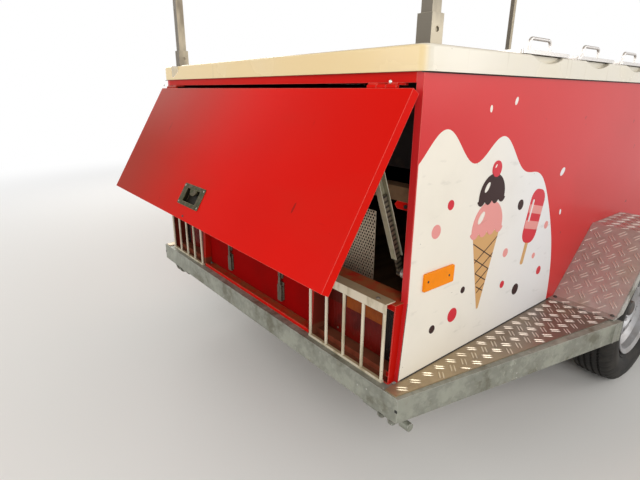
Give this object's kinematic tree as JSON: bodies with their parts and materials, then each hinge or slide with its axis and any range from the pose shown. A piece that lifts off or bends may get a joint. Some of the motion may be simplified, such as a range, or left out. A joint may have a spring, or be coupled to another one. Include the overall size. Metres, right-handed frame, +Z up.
{
  "type": "ice cream vending trailer",
  "caption": "Towed vending trailer: counter body with lidded wells, post-mounted canopy, propped rear flap, platform chassis on one axle, V drawbar and jockey wheel.",
  "frame": {"origin": "on the floor, below the middle of the overall length and width", "axes": "+X forward towards the coupling, +Y to the trailer's left, +Z up"},
  "size_m": [4.0782, 1.88, 2.2343],
  "materials": {
    "galvanised": "hot-dip galvanised, spangled and dulled",
    "tread_plate": "two-bar tread plate, worn bright on the bars",
    "rim_steel": "silver painted steel",
    "hub_steel": "dull grey cast iron",
    "tyre": "black rubber",
    "red_panel": "glossy red",
    "side_graphic": "glossy red film with a plain cream wave",
    "worktop_white": "ivory moulded glass fibre",
    "stainless": "brushed stainless steel",
    "guard_white": "off-white enamel",
    "lamp_black": "black plastic",
    "lens_red": "red lens",
    "lens_amber": "amber lens",
    "reflector_amber": "amber reflector",
    "latch_steel": "dark worn steel",
    "plywood": "sealed plywood",
    "machine_grey": "dark grey",
    "vent_sheet": "perforated galvanised sheet",
    "post_white": "cream enamel",
    "canopy_cloth": "coated canopy cloth",
    "jockey_tyre": "solid rubber",
    "coupling_zinc": "zinc plated pressed steel"
  },
  "bodies": {
    "trailer": {"chassis_frame": "galvanised", "drawbar": "galvanised", "axle_beam": "galvanised", "swing_arms": "galvanised", "coupling_head": "coupling_zinc", "coupling_handle": "lamp_black", "jockey_tube": "galvanised", "jockey_crank": "coupling_zinc", "platforms": "tread_plate", "fenders": "tread_plate", "fender_edges": "galvanised", "prop_brackets": "galvanised", "side_panel_left": "side_graphic", "side_panel_right": "side_graphic", "front_panel": "red_panel", "body_floor": "plywood", "rear_frame": "red_panel", "lamp_boxes": "red_panel", "lamp_housings": "lamp_black", "lamp_lenses_red": "lens_red", "lamp_lenses_amber": "lens_amber", "lamp_guards": "guard_white", "side_reflectors": "reflector_amber", "flap_hinges": "red_panel", "stay_foot_pins": "galvanised", "compressor": "machine_grey", "vent_panel": "vent_sheet", "worktop": "worktop_white", "tub_liner": "stainless", "lid_hinges": "stainless", "post_sockets": "galvanised", "canopy_frame": "post_white", "canopy_cover": "canopy_cloth", "cross_batten": "plywood", "batten_brackets": "red_panel"},
    "wheel_right": {"hub_right": "hub_steel", "rim_right": "rim_steel", "tyre_right": "tyre"},
    "wheel_left": {"hub_left": "hub_steel", "rim_left": "rim_steel", "tyre_left": "tyre"},
    "jockey_post": {"jockey_leg": "coupling_zinc"},
    "jockey_caster": {"jockey_fork": "galvanised"},
    "jockey_roller": {"jockey_wheel": "jockey_tyre"},
    "prop_right": {"prop_leg_right": "galvanised"},
    "prop_left": {"prop_leg_left": "galvanised"},
    "flap": {"flap_panel": "red_panel", "flap_latch": "latch_steel"},
    "stay_right_rod": {"stay_rod_right": "galvanised"},
    "stay_right_channel": {"stay_channel_right": "galvanised"},
    "stay_left_rod": {"stay_rod_left": "galvanised"},
    "stay_left_channel": {"stay_channel_left": "galvanised"},
    "service_hatch": {"service_panel": "red_panel", "toggle_latches": "galvanised"},
    "lid_1_body": {"lid_1": "stainless"},
    "lid_2_body": {"lid_2": "stainless"},
    "lid_3_body": {"lid_3": "stainless"},
    "lid_4_body": {"lid_4": "stainless"}
  },
  "joints": [
    {"name": "wheel_right_roll", "type": "hinge", "parent": "trailer", "child": "wheel_right", "pos_m": [-0.55289, -0.82, 0.3], "axis": [0, 1, 0], "continuous": true},
    {"name": "wheel_left_roll", "type": "hinge", "parent": "trailer", "child": "wheel_left", "pos_m": [-0.55289, 0.82, 0.3], "axis": [0, 1, 0], "continuous": true},
    {"name": "jockey_height", "type": "slide", "parent": "trailer", "child": "jockey_post", "axis": [0, 0, 1], "range_m": [-0.08, 0.11]},
    {"name": "jockey_swivel", "type": "hinge", "parent": "jockey_post", "child": "jockey_caster", "pos_m": [1.65411, -0.068, 0.218], "axis": [0, 0, 1], "continuous": true},
    {"name": "jockey_roll", "type": "hinge", "parent": "jockey_caster", "child": "jockey_roller", "pos_m": [1.61611, -0.068, 0.1], "axis": [0, 1, 0], "continuous": true},
    {"name": "prop_right_fold", "type": "hinge", "parent": "trailer", "child": "prop_right", "pos_m": [-1.78389, -0.682, 0.3], "axis": [0, 1, 0], "range_deg": [0, 90]},
    {"name": "prop_left_fold", "type": "hinge", "parent": "trailer", "child": "prop_left", "pos_m": [-1.78389, 0.682, 0.3], "axis": [0, 1, 0], "range_deg": [0, 90]},
    {"name": "flap_swing", "type": "hinge", "parent": "trailer", "child": "flap", "pos_m": [-1.79189, 0, 1.129], "axis": [0, 1, 0], "range_deg": [-31.1, 0]},
    {"name": "stay_right_tilt", "type": "hinge", "parent": "trailer", "child": "stay_right_rod", "pos_m": [-1.75789, -0.665, 0.696], "axis": [0, 1, 0], "range_deg": [0, 18.72]},
    {"name": "stay_right_slide", "type": "slide", "parent": "stay_right_rod", "child": "stay_right_channel", "axis": [-0.3536, 0, 0.9354], "range_m": [-0.03066, 0]},
    {"name": "stay_left_tilt", "type": "hinge", "parent": "trailer", "child": "stay_left_rod", "pos_m": [-1.75789, 0.665, 0.696], "axis": [0, 1, 0], "range_deg": [0, 18.72]},
    {"name": "stay_left_slide", "type": "slide", "parent": "stay_left_rod", "child": "stay_left_channel", "axis": [-0.3536, 0, 0.9354], "range_m": [-0.03066, 0]},
    {"name": "service_hatch_lift", "type": "slide", "parent": "trailer", "child": "service_hatch", "axis": [-1, 0, 0], "range_m": [0, 0.25]},
    {"name": "lid_1_swing", "type": "hinge", "parent": "trailer", "child": "lid_1_body", "pos_m": [-1.26389, -0.259, 1.2203], "axis": [-1, 0, 0], "range_deg": [0, 100]},
    {"name": "lid_2_swing", "type": "hinge", "parent": "trailer", "child": "lid_2_body", "pos_m": [-0.93389, -0.259, 1.2203], "axis": [-1, 0, 0], "range_deg": [0, 100]},
    {"name": "lid_3_swing", "type": "hinge", "parent": "trailer", "child": "lid_3_body", "pos_m": [-0.60389, -0.259, 1.2203], "axis": [-1, 0, 0], "range_deg": [0, 100]},
    {"name": "lid_4_swing", "type": "hinge", "parent": "trailer", "child": "lid_4_body", "pos_m": [-0.27389, -0.259, 1.2203], "axis": [-1, 0, 0], "range_deg": [0, 100]}
  ],
  "couplings": [
    {"joint": "stay_right_tilt", "follows": "flap_swing", "ratio": -0.60179},
    {"joint": "stay_right_slide", "follows": "flap_swing", "m_per_rad": 0.056484},
    {"joint": "stay_left_tilt", "follows": "flap_swing", "ratio": -0.60179},
    {"joint": "stay_left_slide", "follows": "flap_swing", "m_per_rad": 0.056484}
  ]
}
